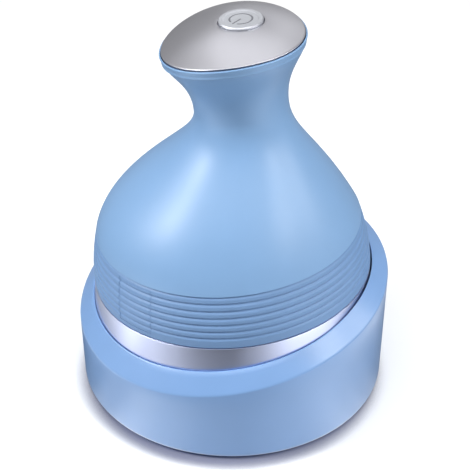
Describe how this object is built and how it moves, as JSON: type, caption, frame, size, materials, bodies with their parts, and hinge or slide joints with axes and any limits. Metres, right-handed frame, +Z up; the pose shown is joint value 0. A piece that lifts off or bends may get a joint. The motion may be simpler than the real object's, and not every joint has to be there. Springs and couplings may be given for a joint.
{
  "type": "electric scalp massager",
  "caption": "Cordless scalp massager: a bell-shaped body with a metal top plate and power button over turning silicone heads, standing in its storage cup.",
  "frame": {"origin": "middle of the cup's underside, on the surface that it stands on", "axes": "+Z up; the massager leans 4.3 degrees towards -X in the XZ plane, and the cup's rim is highest towards 35 degrees from +X; +Y is the side away from the charging port"},
  "size_m": [0.0985, 0.0986, 0.1252],
  "materials": {
    "blue_plastic": "satin moulded",
    "rib_plastic": "satin moulded",
    "cup_plastic": "satin moulded",
    "satin_silver": "satin spun",
    "bright_ring": "bright",
    "button_silver": "fine satin",
    "inner_plastic": "moulded",
    "dark_plastic": "moulded",
    "gear_plastic": "self-lubricating",
    "brass": "machined",
    "bush_bronze": "sintered",
    "steel": "zinc plated",
    "motor_steel": "plated",
    "silicone": "soft silicone",
    "black_rubber": "moulded",
    "foot_rubber": "moulded",
    "cell_wrap": "shrink sleeve",
    "circuit_board": "solder mask",
    "chips": "moulded",
    "lead_white": "insulation",
    "lead_red": "insulation"
  },
  "bodies": {
    "cup": {"cup_shell": "cup_plastic", "cup_tray": "cup_plastic", "cup_base": "cup_plastic", "foot_ring": "foot_rubber", "cup_screws": "steel"},
    "massager": {"upper_shell": "blue_plastic", "grip_band": "rib_plastic", "trim_ring": "bright_ring", "chassis": "inner_plastic", "housing_seal": "black_rubber", "housing_screws": "steel", "gear_plate": "inner_plastic", "plate_screws": "steel", "gearbox": "motor_steel", "gearbox_screws": "steel", "motor": "motor_steel", "shaft_bushes": "bush_bronze", "shaft_seals": "black_rubber", "battery_cell": "cell_wrap", "battery_holder": "dark_plastic", "control_board": "circuit_board", "board_parts": "chips", "board_screws": "steel", "charge_port": "motor_steel", "cap_plate": "satin_silver", "cap_bridge": "inner_plastic", "switch_board": "circuit_board", "tact_switch": "chips", "button_seal": "silicone", "switch_lead": "lead_white", "motor_lead": "lead_red", "battery_lead": "lead_red"},
    "port_plug": {"port_plug": "rib_plastic"},
    "power_button": {"power_button": "button_silver"},
    "drive_gear": {"drive_gear": "brass"},
    "head_1": {"head_gear_1": "gear_plastic", "head_carrier_1": "inner_plastic", "head_screw_1": "steel", "massage_pad_1": "silicone"},
    "head_2": {"head_gear_2": "gear_plastic", "head_carrier_2": "inner_plastic", "head_screw_2": "steel", "massage_pad_2": "silicone"},
    "head_3": {"head_gear_3": "gear_plastic", "head_carrier_3": "inner_plastic", "head_screw_3": "steel", "massage_pad_3": "silicone"},
    "head_4": {"head_gear_4": "gear_plastic", "head_carrier_4": "inner_plastic", "head_screw_4": "steel", "massage_pad_4": "silicone"}
  },
  "joints": [
    {"name": "lift_off", "type": "slide", "parent": "cup", "child": "massager", "axis": [0, 0, 1], "range_m": [0, 0.06]},
    {"name": "plug_pull", "type": "slide", "parent": "massager", "child": "port_plug", "axis": [-0.6672, -0.7431, -0.0502], "range_m": [0, 0.009]},
    {"name": "button_press", "type": "slide", "parent": "massager", "child": "power_button", "axis": [0.0733, 0, -0.9973], "range_m": [0, 0.0008], "stiffness_N_per_m": 800},
    {"name": "drive_spin", "type": "hinge", "parent": "massager", "child": "drive_gear", "pos_m": [0.00051, 0, 0.03279], "axis": [-0.075, 0, 0.9972], "continuous": true},
    {"name": "head_1_spin", "type": "hinge", "parent": "massager", "child": "head_1", "pos_m": [0.02344, 0, 0.03451], "axis": [-0.075, 0, 0.9972], "continuous": true},
    {"name": "head_2_spin", "type": "hinge", "parent": "massager", "child": "head_2", "pos_m": [0.00051, 0.02299, 0.03279], "axis": [-0.075, 0, 0.9972], "continuous": true},
    {"name": "head_3_spin", "type": "hinge", "parent": "massager", "child": "head_3", "pos_m": [-0.02242, 0, 0.03106], "axis": [-0.075, 0, 0.9972], "continuous": true},
    {"name": "head_4_spin", "type": "hinge", "parent": "massager", "child": "head_4", "pos_m": [0.00051, -0.02299, 0.03279], "axis": [-0.075, 0, 0.9972], "continuous": true}
  ],
  "couplings": [
    {"joint": "head_1_spin", "follows": "drive_spin", "ratio": -0.76923},
    {"joint": "head_2_spin", "follows": "drive_spin", "ratio": -0.76923},
    {"joint": "head_3_spin", "follows": "drive_spin", "ratio": -0.76923},
    {"joint": "head_4_spin", "follows": "drive_spin", "ratio": -0.76923}
  ]
}
